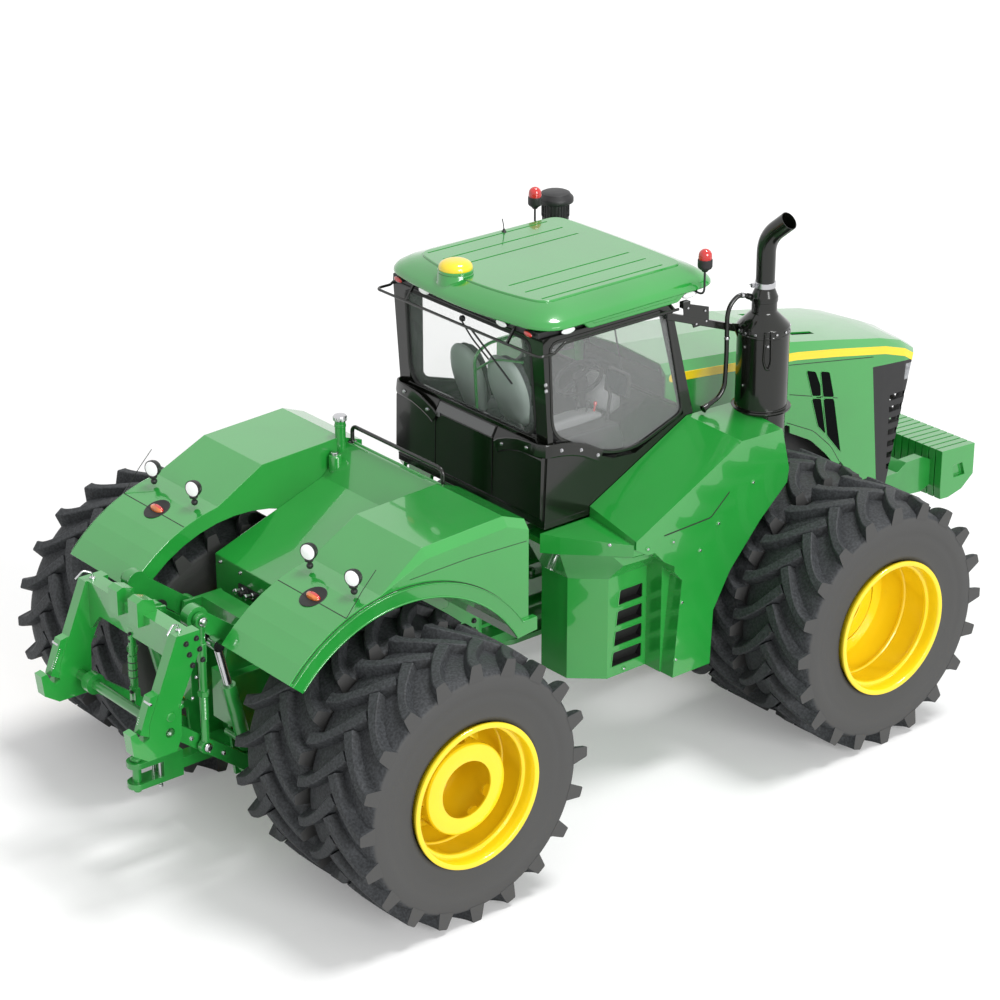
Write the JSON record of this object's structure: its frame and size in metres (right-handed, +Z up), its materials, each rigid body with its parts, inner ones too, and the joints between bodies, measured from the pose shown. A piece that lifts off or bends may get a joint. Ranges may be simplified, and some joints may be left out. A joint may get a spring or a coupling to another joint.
{
  "type": "articulated farm tractor",
  "caption": "Articulated four-wheel-drive farm tractor on dual wheels, with a glazed cab, tilting hood, hinged frame, stack exhaust and rear three-point hitch.",
  "frame": {"origin": "on the floor at the middle of the tractor's whole length and width, 491 mm ahead of the articulation axis", "axes": "+X forward to the front weights, +Y to the driver's left, +Z up"},
  "size_m": [8.842, 4.5246, 4.275],
  "materials": {
    "green": "gloss",
    "yellow": "gloss",
    "black_paint": "gloss",
    "frame_green": "satin",
    "black_plastic": "matte",
    "tyre": "matte",
    "glass": "polished",
    "seat_fabric": "woven",
    "red_lens": "gloss",
    "lamp_chrome": "polished",
    "receiver_yellow": "gloss",
    "steel": "polished",
    "iron": "cast"
  },
  "bodies": {
    "front": {"air_precleaner": "black_plastic", "beacons": "red_lens", "cab_floor": "black_paint", "cab_frame": "black_paint", "cab_glass": "glass", "cab_lower_panels": "black_paint", "cab_roof": "green", "engine": "iron", "exhaust_stack": "black_paint", "firewall": "black_paint", "front_axle": "frame_green", "front_frame": "frame_green", "front_weights": "green", "gps_receiver": "receiver_yellow", "left_platform": "green", "radiator": "iron", "right_tank": "green", "roof_lamps": "lamp_chrome", "roof_rails": "black_paint", "roof_rim": "black_plastic", "seats": "seat_fabric", "side_console": "black_plastic", "stack_bracket": "black_paint", "steering_column": "black_plastic"},
    "rear": {"rear_frame": "frame_green", "rear_axle": "frame_green", "rear_fender_left": "green", "rear_fender_right": "green", "fuel_tank": "green", "deck_rail": "black_paint", "fuel_filler": "green", "fender_lamps": "lamp_chrome", "marker_lamps": "red_lens", "drawbar": "frame_green"},
    "hood_panel": {"hood": "green", "grille": "black_plastic", "headlamps": "lamp_chrome", "hood_stripe": "yellow"},
    "door": {"cab_door": "black_paint", "door_glass": "glass"},
    "wheels_front_left": {"tyres_front_left": "tyre", "rims_front_left": "yellow"},
    "wheels_rear_left": {"tyres_rear_left": "tyre", "rims_rear_left": "yellow"},
    "wheels_front_right": {"tyres_front_right": "tyre", "rims_front_right": "yellow"},
    "wheels_rear_right": {"tyres_rear_right": "tyre", "rims_rear_right": "yellow"},
    "lower_links_body": {"lower_links": "frame_green"},
    "quick_coupler_body": {"quick_coupler": "green"},
    "top_link_body": {"top_link": "frame_green"},
    "lift_arms_body": {"lift_arms": "frame_green"},
    "lift_rods_body": {"lift_rods": "frame_green"},
    "lift_barrels_body": {"lift_barrels": "frame_green"},
    "lift_pistons_body": {"lift_pistons": "steel"},
    "steering_barrel_left_body": {"steering_barrel_left": "frame_green"},
    "steering_rod_left_body": {"steering_rod_left": "steel"},
    "steering_barrel_right_body": {"steering_barrel_right": "frame_green"},
    "steering_rod_right_body": {"steering_rod_right": "steel"}
  },
  "joints": [
    {"name": "articulation", "type": "hinge", "parent": "front", "child": "rear", "pos_m": [-0.491, 0, 1.175], "axis": [0, 0, 1], "range_deg": [-38, 38]},
    {"name": "wheel_front_left", "type": "hinge", "parent": "front", "child": "wheels_front_left", "pos_m": [1.6135, 1.5, 1.02922], "axis": [0, 1, 0], "continuous": true},
    {"name": "wheel_front_right", "type": "hinge", "parent": "front", "child": "wheels_front_right", "pos_m": [1.6135, -1.5, 1.02922], "axis": [0, 1, 0], "continuous": true},
    {"name": "wheel_rear_left", "type": "hinge", "parent": "rear", "child": "wheels_rear_left", "pos_m": [-2.5955, 1.5, 1.02922], "axis": [0, 1, 0], "continuous": true},
    {"name": "wheel_rear_right", "type": "hinge", "parent": "rear", "child": "wheels_rear_right", "pos_m": [-2.5955, -1.5, 1.02922], "axis": [0, 1, 0], "continuous": true},
    {"name": "hood_hinge", "type": "hinge", "parent": "front", "child": "hood_panel", "pos_m": [0.739, 0, 2.88], "axis": [0, -1, 0], "range_deg": [0, 50]},
    {"name": "door_hinge", "type": "hinge", "parent": "front", "child": "door", "pos_m": [-0.691, 0.912, 2.9], "axis": [0, 0, 1], "range_deg": [0, 65]},
    {"name": "steer_barrel_left", "type": "hinge", "parent": "front", "child": "steering_barrel_left_body", "pos_m": [-0.041, 0.22, 1.13], "axis": [0, 0, 1], "range_deg": [-13.7, 13.7]},
    {"name": "steer_rod_left", "type": "slide", "parent": "steering_barrel_left_body", "child": "steering_rod_left_body", "axis": [-1, 0, 0], "range_m": [-0.145, 0.145]},
    {"name": "steer_barrel_right", "type": "hinge", "parent": "front", "child": "steering_barrel_right_body", "pos_m": [-0.041, -0.22, 1.13], "axis": [0, 0, 1], "range_deg": [-13.7, 13.7]},
    {"name": "steer_rod_right", "type": "slide", "parent": "steering_barrel_right_body", "child": "steering_rod_right_body", "axis": [-1, 0, 0], "range_m": [-0.145, 0.145]},
    {"name": "lower_link_lift", "type": "hinge", "parent": "rear", "child": "lower_links_body", "pos_m": [-3.241, 0, 0.72], "axis": [0, 1, 0], "range_deg": [-50, 3]},
    {"name": "coupler_tilt", "type": "hinge", "parent": "lower_links_body", "child": "quick_coupler_body", "pos_m": [-4.091, 0, 1.38], "axis": [0, 1, 0], "range_deg": [-3.2, 50.2]},
    {"name": "top_link_swing", "type": "hinge", "parent": "rear", "child": "top_link_body", "pos_m": [-2.911, 0, 1.36], "axis": [0, 1, 0], "range_deg": [-50.2, 3.2]},
    {"name": "lift_arm_swing", "type": "hinge", "parent": "rear", "child": "lift_arms_body", "pos_m": [-3.241, 0, 1.73], "axis": [0, 1, 0], "range_deg": [-50.2, 3.2]},
    {"name": "lift_rod_swing", "type": "hinge", "parent": "lift_arms_body", "child": "lift_rods_body", "pos_m": [-3.683, 0, 2.0732], "axis": [0, 1, 0], "range_deg": [-3.2, 50.2]},
    {"name": "lift_barrel_swing", "type": "hinge", "parent": "rear", "child": "lift_barrels_body", "pos_m": [-3.361, 0, 1], "axis": [0, 1, 0], "range_deg": [-6.6, 0.5]},
    {"name": "lift_piston_stroke", "type": "slide", "parent": "lift_barrels_body", "child": "lift_pistons_body", "axis": [-0.2372, 0, 0.9715], "range_m": [-0.2905, 0.018]}
  ],
  "couplings": [
    {"joint": "steer_barrel_left", "follows": "articulation", "ratio": 0.358},
    {"joint": "steer_barrel_right", "follows": "articulation", "ratio": 0.358},
    {"joint": "steer_rod_left", "follows": "articulation", "m_per_rad": 0.2169},
    {"joint": "steer_rod_right", "follows": "articulation", "m_per_rad": -0.2169},
    {"joint": "coupler_tilt", "follows": "lower_link_lift", "ratio": -1},
    {"joint": "top_link_swing", "follows": "lower_link_lift", "ratio": 1},
    {"joint": "lift_arm_swing", "follows": "lower_link_lift", "ratio": 1},
    {"joint": "lift_rod_swing", "follows": "lower_link_lift", "ratio": -1},
    {"joint": "lift_barrel_swing", "follows": "lower_link_lift", "ratio": 0.1295},
    {"joint": "lift_piston_stroke", "follows": "lower_link_lift", "m_per_rad": 0.3295}
  ]
}
